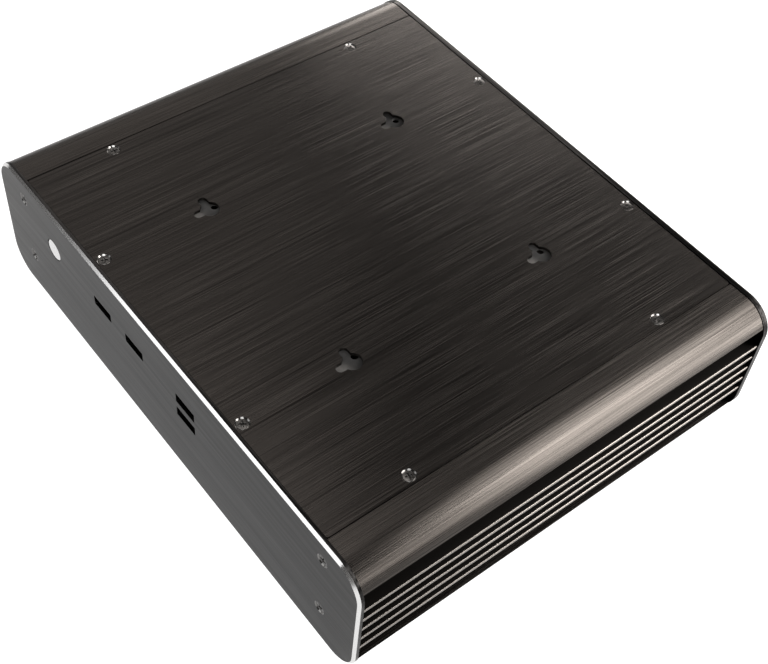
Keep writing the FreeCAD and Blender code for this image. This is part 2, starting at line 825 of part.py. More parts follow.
def front_io_board():
    body = new_body("front_io_board")
    sketch = new_sketch(body, "XY_Plane", io_board_level)
    outline(sketch, rectangle(io_board_edge_left, io_board_edge_right,
                              io_board_edge_front, io_board_edge_back))
    pad(body, sketch, size["board_thickness"])
    bores(body, "XY_Plane", io_board_top, io_post_places(), size["clearance_radius"], size["board_thickness"])
    return body


def io_post_places():
    return [(x, y) for x in io_post_columns for y in io_post_rows]


# Posts: hexagonal, riveted under the tray, threaded right through
def hex_post(label, length):
    body = new_body(label)
    flat = size["post_across_flats"] / 2
    point = flat * 2 / math.sqrt(3)
    sketch = new_sketch(body, "XY_Plane", -length)
    outline(sketch, straight([
        (point, 0), (point / 2, flat), (-point / 2, flat), (-point, 0),
        (-point / 2, -flat), (point / 2, -flat)]))
    pad(body, sketch, length)
    bores(body, "XY_Plane", 0, [(0, 0)], size["thread_radius"], length)
    return body


def board_standoffs():
    places = [(size["board_holes_across"] * side / 2, row, tray_under)
              for side in BOTH_WAYS for row in (board_front_row, board_rear_row)]
    return copies("board_standoffs", hex_post("board_post", size["standoff_height"]), places, UPRIGHT)


def io_board_posts():
    places = [(x, y, tray_under) for x, y in io_post_places()]
    return copies("io_board_posts", hex_post("io_post", tray_under - io_board_top), places, UPRIGHT)


def io_board_screws(master):
    places = [(x, y, io_board_level) for x, y in io_post_places()]
    return copies("io_board_screws", master, places, FACING_DOWN)


# Heat path: a two-piece block for the processor, two bent pipes and their clamps on the right wall
def block_half(label, low, screw_radius):
    body = new_body(label)
    half_block = size["block_size"] / 2
    left = size["block_across"] - half_block
    right = size["block_across"] + half_block
    front = block_along - half_block
    back = block_along + half_block
    sketch = new_sketch(body, "XY_Plane", low)
    outline(sketch, rectangle(left, right, front, back, size["panel_corner"]))
    pad(body, sketch, size["block_thickness"])
    bores(body, "YZ_Plane", left, [(block_along + size["pipe_shift"] * side, pipe_level)
                                   for side in BOTH_WAYS],
          size["pipe_radius"] + size["pipe_fit"], size["block_size"], True)
    bores(body, "XY_Plane", low + size["block_thickness"], block_screw_places(), screw_radius,
          size["block_thickness"])
    return body


def block_screw_places():
    spread = size["block_size"] - size["block_screw_inset"] * 2
    return [(size["block_across"] + spread * side / 2, block_along + spread * end / 2)
            for side in BOTH_WAYS for end in BOTH_WAYS]


def block_screws(master):
    level = pipe_level - size["block_thickness"]
    return copies("block_screws", master, [(x, y, level) for x, y in block_screw_places()], FACING_DOWN)


def heat_pipe(label, end):
    body = new_body(label)
    start = size["block_across"] - size["block_size"] / 2
    row = block_along + size["pipe_shift"] * end
    bend = size["pipe_bend_radius"]
    corner = pipe_wall_line - bend
    wall_end = row + (bend + size["pipe_wall_run"]) * end
    route = new_sketch(body, "XY_Plane", pipe_level)
    line = route.addGeometry(Part.LineSegment(spot(start, row), spot(corner, row)), False)
    curve = route.addGeometry(
        arc_between(spot(corner, row), spot(pipe_wall_line, row + bend * end), bend.value, end), False)
    near, far = (1, 2) if end > 0 else (2, 1)
    run = route.addGeometry(
        Part.LineSegment(spot(pipe_wall_line, row + bend * end), spot(pipe_wall_line, wall_end)), False)
    number = route.addConstraint(Sketcher.Constraint("Radius", curve, bend.value))
    bind(route, f"Constraints[{number}]", bend)
    route.addConstraint(Sketcher.Constraint("Coincident", line, 2, curve, near))
    route.addConstraint(Sketcher.Constraint("Coincident", curve, far, run, 1))
    fix_point(route, line, 1, start, row)
    fix_point(route, line, 2, corner, row)
    fix_point(route, run, 1, pipe_wall_line, row + bend * end)
    fix_point(route, run, 2, pipe_wall_line, wall_end)
    ring = new_sketch(body, "YZ_Plane", start)
    circle(ring, row, pipe_level, size["pipe_radius"])
    pipe = body.newObject("PartDesign::AdditivePipe", label + "_pipe")
    pipe.Profile = ring
    pipe.Spine = route
    document.recompute()
    return body


def spot(x, y):
    return FreeCAD.Vector(number_of(x), number_of(y), 0)


def clamp_along(end):
    return block_along + clamp_middle * end


def clamp_screw_places():
    return [(clamp_along(end), pipe_level + size["clamp_screw_spacing"] * side / 2)
            for end in BOTH_WAYS for side in BOTH_WAYS]


def pipe_clamp(label, end):
    body = new_body(label)
    radius = size["pipe_radius"] + size["pipe_fit"]
    half_clamp = size["clamp_height"] / 2
    inner = wall_inner - clamp_thickness
    sketch = new_sketch(body, "XZ_Plane", -clamp_along(end) - size["clamp_length"] / 2)
    outline(sketch, merge_meeting(rounded([
        (wall_inner, pipe_level - half_clamp, None), (wall_inner, pipe_level - radius, None),
        (pipe_wall_line - radius, pipe_level - radius, radius),
        (pipe_wall_line - radius, pipe_level + radius, radius),
        (wall_inner, pipe_level + radius, None), (wall_inner, pipe_level + half_clamp, None),
        (inner, pipe_level + half_clamp, None), (inner, pipe_level - half_clamp, None)])))
    pad(body, sketch, size["clamp_length"])
    places = [(clamp_along(end), pipe_level + size["clamp_screw_spacing"] * side / 2) for side in BOTH_WAYS]
    bores(body, "YZ_Plane", inner, places, size["clearance_radius"], clamp_thickness, True)
    return body


def clamp_screws(master):
    inner = wall_inner - clamp_thickness
    places = [(inner, y, z) for y, z in clamp_screw_places()]
    return copies("clamp_screws", master, places, FACING_LEFT)


def build_case():
    sunk = sunk_screw()
    pan = pan_screw("pan_screw", size["pan_screw_length"])
    right = right_heatsink()
    parts = [front_panel(), rear_panel(), right, left_heatsink(right)]
    parts.extend([base_panel(), top_cover(), board_tray()])
    parts.append(rail("front_rail", -1))
    parts.append(rail("rear_rail", 1))
    parts.append(base_panel_screws(sunk))
    parts.append(plate_screws("front_panel_screws", sunk, -1, FACING_FRONT))
    parts.append(plate_screws("rear_panel_screws", sunk, 1, FACING_REAR))
    parts.append(tray_screws(pan))
    parts.append(board_standoffs())
    for thing in (power_button(), button_housing(), button_board(), power_switch(), switch_plunger()):
        parts.append(face_the_front(thing))
    parts.append(button_screws(pan_screw("ear_screw", size["ear_screw_length"])))
    parts.append(socket_shell("usb_port_left", left_socket_across, [single_level]))
    parts.append(socket_shell("usb_port_middle", middle_socket_across, [single_level]))
    parts.append(socket_shell("usb_port_stack", stack_across, [stack_level, lower_stack_level]))
    parts.append(socket_tongue("usb_tongue_left", left_socket_across, single_level))
    parts.append(socket_tongue("usb_tongue_middle", middle_socket_across, single_level))
    parts.append(socket_tongue("usb_tongue_upper", stack_across, stack_level))
    parts.append(socket_tongue("usb_tongue_lower", stack_across, lower_stack_level))
    parts.append(front_io_board())
    parts.append(io_board_posts())
    parts.append(io_board_screws(pan))
    parts.append(block_half("processor_block", pipe_level, size["thread_radius"]))
    parts.append(block_half("block_cap", pipe_level - size["block_thickness"], size["clearance_radius"]))
    parts.append(block_screws(pan))
    parts.append(heat_pipe("heat_pipe_front", -1))
    parts.append(heat_pipe("heat_pipe_rear", 1))
    parts.append(pipe_clamp("pipe_clamp_front", -1))
    parts.append(pipe_clamp("pipe_clamp_rear", 1))
    parts.append(clamp_screws(pan_screw("clamp_screw", clamp_screw_length)))
    return parts


def check_document():
    document.recompute()
    for thing in document.Objects:
        if "Invalid" in thing.State or "Error" in thing.State:
            raise RuntimeError(f"{thing.Label} did not build")


def write_parts(parts):
    os.makedirs("parts", exist_ok=True)
    for thing in parts:
        if thing.Shape.isNull() or not thing.Shape.isValid():
            raise RuntimeError(f"{thing.Label} has no valid shape")
        thing.Shape.exportStep(f"parts/{thing.Label}.step")


finished = build_case()
check_document()
write_parts(finished)
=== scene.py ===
import math

import bmesh
import bpy
from mathutils import Matrix, Vector


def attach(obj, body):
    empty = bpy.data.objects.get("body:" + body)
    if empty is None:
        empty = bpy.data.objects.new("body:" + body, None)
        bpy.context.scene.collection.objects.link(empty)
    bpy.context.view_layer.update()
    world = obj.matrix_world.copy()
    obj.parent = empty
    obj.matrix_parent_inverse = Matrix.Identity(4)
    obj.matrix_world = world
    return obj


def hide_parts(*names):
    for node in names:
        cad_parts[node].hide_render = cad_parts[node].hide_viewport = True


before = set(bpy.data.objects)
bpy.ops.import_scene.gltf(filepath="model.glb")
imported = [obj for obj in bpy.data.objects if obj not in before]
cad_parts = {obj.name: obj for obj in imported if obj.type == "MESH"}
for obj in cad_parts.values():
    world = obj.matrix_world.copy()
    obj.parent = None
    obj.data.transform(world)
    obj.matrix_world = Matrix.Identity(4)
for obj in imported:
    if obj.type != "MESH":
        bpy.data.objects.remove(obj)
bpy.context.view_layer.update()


# Side heatsinks
# Two aluminium extrusions are the side walls of the case, with five fins along each outer side.
# They are brushed lengthways and anodised a warm black, and the end plates screw into their ends.
heatsink_dark = (0.022, 0.0198, 0.0185)
heatsink_light = (0.088, 0.0808, 0.0748)
along_case = (0, 1, 0)
fin_band_middle = 0.034
fin_band_half = 0.0195
fin_tip_reach = 0.1298
groove_reach = 0.1294
# The fin tip tone below is a painted highlight, and the groove tone is painted shade between the fins
tip_painted_highlight = (0.24, 0.222, 0.206)
groove_painted_shade = (0.008, 0.0074, 0.0070)
groove_roughness = 0.5
lines_share = 0.45
streaks_share = 0.45
bands_share = 0.1
tone_spread = 0.2


def place(tree, kind, inputs=(), **settings):
    node = tree.nodes.new(kind)
    for key, value in settings.items():
        setattr(node, key, value)
    for key, value in dict(inputs).items():
        if isinstance(value, bpy.types.NodeSocket):
            tree.links.new(value, node.inputs[key])
        else:
            node.inputs[key].default_value = value
    return node


def calculate(tree, operation, *values):
    return place(tree, "ShaderNodeMath", dict(enumerate(values)), operation=operation).outputs[0]


def spread(tree, value, low, high, to_low=0.0, to_high=1.0):
    inputs = {"Value": value, "From Min": low, "From Max": high, "To Min": to_low, "To Max": to_high}
    return place(tree, "ShaderNodeMapRange", inputs).outputs["Result"]


def mix_colour(tree, factor, first, second):
    node = place(tree, "ShaderNodeMix", data_type="RGBA")
    tree.links.new(factor, node.inputs[0])
    for socket, value in ((node.inputs[6], first), (node.inputs[7], second)):
        if isinstance(value, bpy.types.NodeSocket):
            tree.links.new(value, socket)
        else:
            socket.default_value = (*value, 1.0)
    return node.outputs[2]


def mix_number(tree, factor, first, second):
    return place(tree, "ShaderNodeMix", {0: factor, 2: first, 3: second}).outputs[0]


def new_group(name, inputs, outputs):
    group = bpy.data.node_groups.new(name, "ShaderNodeTree")
    for label, value in inputs.items():
        kind = "NodeSocketVector" if isinstance(value, tuple) else "NodeSocketFloat"
        group.interface.new_socket(name=label, in_out="INPUT", socket_type=kind).default_value = value
    for label in outputs:
        group.interface.new_socket(name=label, in_out="OUTPUT", socket_type="NodeSocketFloat")
    return group, place(group, "NodeGroupInput").outputs, place(group, "NodeGroupOutput").inputs


def use_group(tree, group, **values):
    node = place(tree, "ShaderNodeGroup", node_tree=group)
    for label, value in values.items():
        node.inputs[label.replace("_", " ")].default_value = value
    return node.outputs


# Brushing: fine lines, longer streaks and slow bands, all drawn out along the grain
def brushing_group():
    group, given, result = new_group("brushing", {
        "Grain": along_case,
        "Lines Width": 0.00018, "Lines Length": 0.05,
        "Streaks Width": 0.00038, "Streaks Length": 0.14,
        "Bands Width": 0.0028, "Bands Length": 0.5,
    }, ("Lines", "Streaks", "Bands"))
    position = place(group, "ShaderNodeTexCoord").outputs["Object"]
    along = place(group, "ShaderNodeVectorMath", {0: position, 1: given["Grain"]}, operation="DOT_PRODUCT")
    for mark, detail in (("Lines", 1.0), ("Streaks", 2.0), ("Bands", 3.0)):
        narrow = calculate(group, "DIVIDE", 1.0, given[mark + " Width"])
        drawn = calculate(group, "DIVIDE", 1.0, given[mark + " Length"])
        stretch = calculate(group, "SUBTRACT", drawn, narrow)
        shift = calculate(group, "MULTIPLY", stretch, along.outputs["Value"])
        across = place(group, "ShaderNodeVectorMath", {0: position, "Scale": narrow}, operation="SCALE")
        moved = place(group, "ShaderNodeVectorMath", {0: given["Grain"], "Scale": shift}, operation="SCALE")
        where = place(group, "ShaderNodeVectorMath", {0: across.outputs[0], 1: moved.outputs[0]},
                      operation="ADD")
        noise = place(group, "ShaderNodeTexNoise", {
            "Vector": where.outputs[0], "Scale": 1.0, "Detail": detail, "Roughness": 0.6})
        group.links.new(noise.outputs["Fac"], result[mark])
    return group


brushing = brushing_group()


def new_material(name):
    material = bpy.data.materials.new(name)
    material.use_nodes = True
    return material, material.node_tree, material.node_tree.nodes["Principled BSDF"]


def place_on_case(tree):
    position = place(tree, "ShaderNodeTexCoord").outputs["Object"]
    parts = place(tree, "ShaderNodeSeparateXYZ", {0: position}).outputs
    return calculate(tree, "ABSOLUTE", parts["X"]), parts["Z"]


def brushed_metal(name, grain, dark, light, roughness, relief, contrast=1.0, change=None, **sizes):
    material, tree, shader = new_material(name)
    marks = use_group(tree, brushing, Grain=grain, **sizes)
    tone = calculate(tree, "MULTIPLY", marks["Lines"], lines_share)
    tone = calculate(tree, "MULTIPLY_ADD", marks["Streaks"], streaks_share, tone)
    tone = calculate(tree, "MULTIPLY_ADD", marks["Bands"], bands_share, tone)
    tone = spread(tree, tone, 0.5 - tone_spread / contrast, 0.5 + tone_spread / contrast)
    colour = mix_colour(tree, tone, dark, light)
    gloss = spread(tree, marks["Lines"], 0.3, 0.7, roughness - 0.04, roughness + 0.05)
    height = calculate(tree, "MULTIPLY_ADD", marks["Lines"], 0.4, marks["Streaks"])
    if change:
        colour, gloss, height = change(tree, colour, gloss, height)
    bump = place(tree, "ShaderNodeBump", {"Height": height, "Strength": 1.0, "Distance": relief})
    axis = "Y" if grain == along_case else "X"
    around = place(tree, "ShaderNodeTangent", direction_type="RADIAL", axis=axis)
    tree.links.new(colour, shader.inputs["Base Color"])
    tree.links.new(gloss, shader.inputs["Roughness"])
    tree.links.new(bump.outputs["Normal"], shader.inputs["Normal"])
    tree.links.new(around.outputs["Tangent"], shader.inputs["Tangent"])
    shader.inputs["Metallic"].default_value = 1.0
    shader.inputs["Anisotropic"].default_value = 0.7
    return material


# The fin tips get a lighter colour, a painted highlight, and the grooves between them a near-black colour,
# painted shade, with a matt roughness
def tip_highlight_and_groove_shade(tree, colour, gloss, height):
    reach, level = place_on_case(tree)
    among_fins = calculate(tree, "COMPARE", level, fin_band_middle, fin_band_half)
    tip = calculate(tree, "MULTIPLY", among_fins, calculate(tree, "GREATER_THAN", reach, fin_tip_reach))
    groove = calculate(tree, "MULTIPLY", among_fins, calculate(tree, "LESS_THAN", reach, groove_reach))
    colour = mix_colour(tree, groove, mix_colour(tree, tip, colour, tip_painted_highlight), groove_painted_shade)
    return colour, mix_number(tree, groove, gloss, groove_roughness), height


def dress(material, *names):
    for name in names:
        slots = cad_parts[name].data.materials
        slots.clear()
        slots.append(material)


heatsink_metal = brushed_metal(
    "heatsink_metal", along_case, heatsink_dark, heatsink_light, roughness=0.26, relief=0.00003, contrast=1.3,
    change=tip_highlight_and_groove_shade)
dress(heatsink_metal, "left_heatsink", "right_heatsink")


# Board tray
# A steel sheet, zinc plated and dull, that is screwed up under the ledges and carries the boards.
# It is seen through the keyholes of the base panel and through the opening in the rear plate.
tray_dark = (0.17, 0.165, 0.16)
tray_light = (0.31, 0.30, 0.29)


# Mottle: soft patches, and specks a tenth of their size
def mottle_group():
    group, given, result = new_group("mottle", {"Patch Size": 0.006}, ("Patches", "Specks"))
    position = place(group, "ShaderNodeTexCoord").outputs["Object"]
    for mark, finer, detail in (("Patches", 1.0, 3.0), ("Specks", 10.0, 1.0)):
        often = calculate(group, "DIVIDE", finer, given["Patch Size"])
        noise = place(group, "ShaderNodeTexNoise", {"Vector": position, "Scale": often, "Detail": detail})
        group.links.new(noise.outputs["Fac"], result[mark])
    return group


mottle = mottle_group()


def mottled(name, dark, light, roughness, patch_size, relief, metallic=1.0):
    material, tree, shader = new_material(name)
    marks = use_group(tree, mottle, Patch_Size=patch_size)
    colour = mix_colour(tree, spread(tree, marks["Patches"], 0.35, 0.65), dark, light)
    gloss = spread(tree, marks["Specks"], 0.3, 0.7, roughness - 0.05, roughness + 0.07)
    bump = place(tree, "ShaderNodeBump", {"Height": marks["Specks"], "Strength": 1.0, "Distance": relief})
    tree.links.new(colour, shader.inputs["Base Color"])
    tree.links.new(gloss, shader.inputs["Roughness"])
    tree.links.new(bump.outputs["Normal"], shader.inputs["Normal"])
    shader.inputs["Metallic"].default_value = metallic
    return material


tray_zinc = mottled(
    "tray_zinc", tray_dark, tray_light, roughness=0.48, patch_size=0.008, relief=0.00001, metallic=0.5)
dress(tray_zinc, "board_tray")


# Rails
# Two square aluminium bars between the ledges take the end screws of the base panel.
# They are left bare, with the long marks of drawing.
across_case = (1, 0, 0)
rail_dark = (0.42, 0.42, 0.42)
rail_light = (0.68, 0.68, 0.67)
rail_metal = brushed_metal(
    "rail_metal", across_case, rail_dark, rail_light, roughness=0.30, relief=0.000006)
dress(rail_metal, "front_rail", "rear_rail")


# Inside screws and posts
# The pan head screws are steel, plated with dark nickel, and the hexagonal posts are brass bar.
# Screws hold the tray to the ledges and rails, and the boards, clamps and block to what carries them.
nickel_dark = (0.20, 0.195, 0.19)
nickel_light = (0.34, 0.33, 0.32)
brass_dark = (0.56, 0.37, 0.13)
brass_light = (0.74, 0.53, 0.23)
nickel = mottled(
    "screw_nickel", nickel_dark, nickel_light, roughness=0.28, patch_size=0.0012, relief=0.000002)
brass = mottled("post_brass", brass_dark, brass_light, roughness=0.27, patch_size=0.002, relief=0.000002)
dress(nickel, "tray_screws", "io_board_screws", "block_screws", "clamp_screws", "button_screws")
dress(brass, "board_standoffs", "io_board_posts")


# Heat path
# Two copper pipes carry heat from a two-piece aluminium block to the right wall, each under a clamp.
# The block and clamps are milled and left bare, and the pipes are dull from bending and handling.
block_dark = (0.50, 0.50, 0.50)
block_light = (0.74, 0.74, 0.73)
copper_dark = (0.50, 0.22, 0.12)
copper_light = (0.80, 0.41, 0.27)
block_metal = brushed_metal(
    "block_aluminium", across_case, block_dark, block_light, roughness=0.24, relief=0.000004)
copper = mottled("pipe_copper", copper_dark, copper_light, roughness=0.26, patch_size=0.007, relief=0.000003)
dress(block_metal, "processor_block", "block_cap", "pipe_clamp_front", "pipe_clamp_rear")
dress(copper, "heat_pipe_front", "heat_pipe_rear")


# Front sockets
# Folded steel shells with a bright plating, each round a black moulded tongue, are soldered to a green board.
# The board hangs on posts under the tray, and the sockets stand behind the slots of the front plate.
shell_dark = (0.38, 0.38, 0.37)
shell_light = (0.54, 0.54, 0.53)
tongue_dark = (0.012, 0.012, 0.013)
tongue_light = (0.020, 0.020, 0.021)
board_dark = (0.010, 0.060, 0.025)
board_light = (0.018, 0.100, 0.042)
socket_steel = mottled(
    "socket_steel", shell_dark, shell_light, roughness=0.30, patch_size=0.003, relief=0.000003)
tongue_plastic = mottled(
    "tongue_plastic", tongue_dark, tongue_light, roughness=0.42, patch_size=0.002, relief=0.00001,
    metallic=0.0)
board_mask = mottled(
    "board_mask", board_dark, board_light, roughness=0.30, patch_size=0.004, relief=0.00001, metallic=0.0)
dress(socket_steel, "usb_port_left", "usb_port_middle", "usb_port_stack")
dress(tongue_plastic, "usb_tongue_left", "usb_tongue_middle", "usb_tongue_upper", "usb_tongue_lower")
dress(board_mask, "front_io_board", "button_board")


# Socket contacts and leaves
# Four gilt strips lie on each tongue and turn down over its front end.
# Two pairs of leaves are cut from each shell and bent inward to grip the plug.
mouths = ((-0.0445, 0.0459), (-0.0197, 0.0459), (0.0184, 0.0469), (0.0184, 0.0383))
contact_places = (-0.0035, -0.001, 0.001, 0.0035)
contact_width = 0.001
leaf_places = (-0.0031, 0.0031)
leaf_width = 0.0022
half_mouth = 0.00256
gilt_dark = (0.62, 0.40, 0.13)
gilt_light = (0.80, 0.57, 0.24)

# Each point is its place from front to rear, with the rise over the tongue's face
strip_outline = (
    (-0.1027, -0.0008), (-0.10282, -0.0007), (-0.10282, -0.0001), (-0.1026, 0.00006), (-0.0952, 0.00006),
    (-0.0952, -0.0001), (-0.1026, -0.0001))

# Here each point has the distance from the wall of the shell
leaf_outline = (
    (-0.0935, 0.0), (-0.0985, 0.00055), (-0.1002, 0.00035), (-0.1001, 0.00015), (-0.0985, 0.00033),
    (-0.0942, 0.0))


def bar(mesh, section, middle, width):
    ends = [[mesh.verts.new((middle + width * side / 2, y, z)) for y, z in section] for side in (-1, 1)]
    for end in ends:
        mesh.faces.new(end)
    for step in range(len(section)):
        after = (step + 1) % len(section)
        mesh.faces.new((ends[0][step], ends[0][after], ends[1][after], ends[1][step]))


def new_piece(name, mesh, material, body, sharp_angle=35.0):
    bmesh.ops.recalc_face_normals(mesh, faces=mesh.faces)
    for face in mesh.faces:
        face.smooth = True
    for edge in mesh.edges:
        edge.smooth = len(edge.link_faces) == 2 and edge.calc_face_angle() < math.radians(sharp_angle)
    data = bpy.data.meshes.new(name)
    mesh.to_mesh(data)
    mesh.free()
    data.materials.append(material)
    piece = bpy.data.objects.new(name, data)
    bpy.context.scene.collection.objects.link(piece)
    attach(piece, body)
    return piece


contacts = bmesh.new()
leaves = bmesh.new()
for across, level in mouths:
    strip = [(y, level + rise) for y, rise in strip_outline]
    for shift in contact_places:
        bar(contacts, strip, across + shift, contact_width)
    for side in (-1, 1):
        wall = level + half_mouth * side
        leaf = [(y, wall - gap * side) for y, gap in leaf_outline]
        for shift in leaf_places:
            bar(leaves, leaf, across + shift, leaf_width)
contact_gilt = mottled(
    "contact_gilt", gilt_dark, gilt_light, roughness=0.22, patch_size=0.0008, relief=0.000001)
new_piece("usb_contacts", contacts, contact_gilt, "case")
new_piece("usb_leaves", leaves, socket_steel, "case")


# Power button
# The button is turned from aluminium, faced bright and slightly dished, with a flange that keeps it in.
# It slides in a black moulded housing and presses a small switch on a board of its own.
housing_dark = (0.014, 0.014, 0.015)
housing_light = (0.024, 0.024, 0.025)
plunger_dark = (0.55, 0.53, 0.48)
plunger_light = (0.68, 0.66, 0.61)
button_dark = (0.84, 0.84, 0.84)
button_light = (0.94, 0.94, 0.94)
housing_plastic = mottled(
    "housing_plastic", housing_dark, housing_light, roughness=0.45, patch_size=0.002, relief=0.00001,
    metallic=0.0)
plunger_plastic = mottled(
    "plunger_plastic", plunger_dark, plunger_light, roughness=0.4, patch_size=0.001, relief=0.000003,
    metallic=0.0)
dress(housing_plastic, "button_housing", "power_switch")
dress(plunger_plastic, "switch_plunger")
half_depth = 0.10725
button_place = (-0.0852, -half_depth, 0.0456)
button_sides = 96
facing_front = Matrix.Rotation(math.radians(90), 4, "X")

# Each point is a radius and a height over the face of the plate, from the dished middle to the stem
button_profile = (
    (0.0, -0.00040), (0.0010, -0.00039), (0.0020, -0.00035), (0.0030, -0.00028), (0.0038, -0.00020),
    (0.0044, -0.00012), (0.0046, -0.00010), (0.0047, -0.00010), (0.0049, -0.00022), (0.0050, -0.00035),
    (0.0050, -0.0026), (0.0062, -0.0026), (0.0062, -0.0041), (0.0016, -0.0041), (0.0016, -0.0090),
    (0.0, -0.0090))


def turned(mesh, stand, profile, sides, sunk=lambda x, y: 0.0):
    rings = []
    for radius, height in profile:
        turns = [2 * math.pi * step / sides for step in range(sides if radius > 0 else 1)]
        spots = [(radius * math.cos(turn), radius * math.sin(turn)) for turn in turns]
        rings.append([mesh.verts.new(stand @ Vector((x, y, height - sunk(x, y)))) for x, y in spots])
    for inner, outer in zip(rings, rings[1:]):
        for step in range(sides):
            after = (step + 1) % sides
            around = (inner[step % len(inner)], outer[step % len(outer)],
                      outer[after % len(outer)], inner[after % len(inner)])
            mesh.faces.new(tuple(dict.fromkeys(around)))


# The facing cut leaves fine rings round the middle of the button
def faced_metal(name, middle, dark, light, roughness, ring_width, relief):
    material, tree, shader = new_material(name)
    position = place(tree, "ShaderNodeTexCoord").outputs["Object"]
    offset = place(tree, "ShaderNodeVectorMath", {0: position, 1: middle}, operation="SUBTRACT").outputs[0]
    flat = place(tree, "ShaderNodeVectorMath", {0: offset, 1: (1, 0, 1)}, operation="MULTIPLY").outputs[0]
    radius = place(tree, "ShaderNodeVectorMath", {0: flat}, operation="LENGTH").outputs["Value"]
    rings = place(tree, "ShaderNodeTexNoise", {"W": radius, "Scale": 1 / ring_width, "Detail": 2.0},
                  noise_dimensions="1D").outputs["Fac"]
    colour = mix_colour(tree, spread(tree, rings, 0.3, 0.7), dark, light)
    gloss = spread(tree, rings, 0.3, 0.7, roughness, roughness + 0.06)
    bump = place(tree, "ShaderNodeBump", {"Height": rings, "Strength": 1.0, "Distance": relief})
    tree.links.new(colour, shader.inputs["Base Color"])
    tree.links.new(gloss, shader.inputs["Roughness"])
    tree.links.new(bump.outputs["Normal"], shader.inputs["Normal"])
    shader.inputs["Metallic"].default_value = 1.0
    return material


button_mesh = bmesh.new()
turned(button_mesh, Matrix.Translation(button_place) @ facing_front, button_profile, button_sides)
button_metal = faced_metal(
    "button_aluminium", button_place, button_dark, button_light, roughness=0.2, ring_width=0.0002,
    relief=0.000001)
button = new_piece("button_cap", button_mesh, button_metal, "button")
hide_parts("power_button")


# End plates
# Both are 2.5 mm aluminium, brushed along their length and anodised black, and screwed to the heatsinks.
# The front plate's outer edge and the screw sinks are milled after that, and show bare metal, which in the
# sinks is darkened to painted shade.
plate_dark = (0.006, 0.0058, 0.0057)
plate_light = (0.040, 0.0388, 0.0384)
edge_tone = (0.78, 0.78, 0.78)
# The sink tone is bare milled metal darkened as painted shade in the countersinks
sink_painted_shade = (0.20, 0.196, 0.192)
milled_roughness = 0.2
milled_slope = math.radians(45)
slope_tolerance = 0.12
level_height = 0.5
plate_screw_reach = 0.1088
beside_screws = 0.005
screw_band_middle = 0.034
screw_band_half = 0.030


# Cut: a mask of the faces milled aslant to a plate, which show bare metal
def cut_group():
    group, given, result = new_group("cut_faces", {"Plate Normal": (0, 0, 1)}, ("Cut",))
    normal = place(group, "ShaderNodeNewGeometry").outputs["True Normal"]
    towards = place(group, "ShaderNodeVectorMath", {0: normal, 1: given["Plate Normal"]},
                    operation="DOT_PRODUCT")
    slope = calculate(group, "ABSOLUTE", towards.outputs["Value"])
    mask = calculate(group, "COMPARE", slope, math.cos(milled_slope), slope_tolerance)
    group.links.new(mask, result["Cut"])
    return group


cut_faces = cut_group()


def milled_faces(tree, colour, gloss, height, plate_normal, tone):
    cut = use_group(tree, cut_faces, Plate_Normal=plate_normal)["Cut"]
    colour = mix_colour(tree, cut, colour, tone)
    return colour, mix_number(tree, cut, gloss, milled_roughness), mix_number(tree, cut, height, level_height)


def milled_plate(tree, colour, gloss, height):
    reach, level = place_on_case(tree)
    beside = calculate(tree, "COMPARE", reach, plate_screw_reach, beside_screws)
    sink = calculate(tree, "MULTIPLY", beside,
                     calculate(tree, "COMPARE", level, screw_band_middle, screw_band_half))
    tone = mix_colour(tree, sink, edge_tone, sink_painted_shade)
    return milled_faces(tree, colour, gloss, height, (0, 1, 0), tone)


plate_metal = brushed_metal(
    "plate_metal", across_case, plate_dark, plate_light, roughness=0.32, relief=0.00003, contrast=2.5,
    change=milled_plate, Lines_Width=0.0009, Streaks_Width=0.0022)
dress(plate_metal, "front_panel", "rear_panel")


# Sunk screws
# Steel screws, black nickel plated, hold both plates and the base panel, with crowned heads below the face.
# Each head is pressed with a cross recess whose walls lean, and its rim is rolled over.
plate_screw_levels = (0.0569, 0.0218)
plate_screw_places = [(plate_screw_reach * side, level) for side in (-1, 1) for level in plate_screw_levels]
seat_depth = 0.00045
plate_screw_seat = half_depth - seat_depth
facing_rear = Matrix.Rotation(math.radians(-90), 4, "X")
head_sides = 80
head_turn = 0.7
head_radius = 0.0025
crown = 0.00018
recess_reach = 0.00155
recess_half_width = 0.00040
recess_depth = 0.0010
recess_wall = 0.00018
crown_steps = 30
crown_edge = 0.00236
screw_shank = [(0.00245, -0.00002), (0.0025, -0.00010), (0.0014, -0.0012), (0.0014, -0.0060), (0.0, -0.0060)]
screw_dark = (0.07, 0.068, 0.066)
screw_light = (0.14, 0.136, 0.132)


def cross_recess(x, y):
    arms = (max(abs(x) - recess_reach, abs(y) - recess_half_width),
            max(abs(y) - recess_reach, abs(x) - recess_half_width))
    inside = min(max(-min(arms) / recess_wall, 0.0), 1.0)
    taper = 1.0 - 0.5 * math.hypot(x, y) / recess_reach
    return recess_depth * taper * inside * inside * (3.0 - 2.0 * inside)


def crowned_profile():
    radii = [crown_edge * step / crown_steps for step in range(crown_steps + 1)]
    return [(radius, crown * (1.0 - (radius / head_radius) ** 2)) for radius in radii]


def sunk_screws(name, stands, node):
    mesh = bmesh.new()
    profile = crowned_profile() + screw_shank
    for order, stand in enumerate(stands):
        turned(mesh, stand @ Matrix.Rotation(head_turn * order, 4, "Z"), profile, head_sides, cross_recess)
    piece = new_piece(name, mesh, screw_black, "case")
    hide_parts(node)


screw_black = mottled(
    "screw_black", screw_dark, screw_light, roughness=0.25, patch_size=0.0010, relief=0.000002)
sunk_screws("front_screws", [Matrix.Translation((x, -plate_screw_seat, z)) @ facing_front
                             for x, z in plate_screw_places], "front_panel_screws")
sunk_screws("rear_screws", [Matrix.Translation((x, plate_screw_seat, z)) @ facing_rear
                            for x, z in plate_screw_places], "rear_panel_screws")


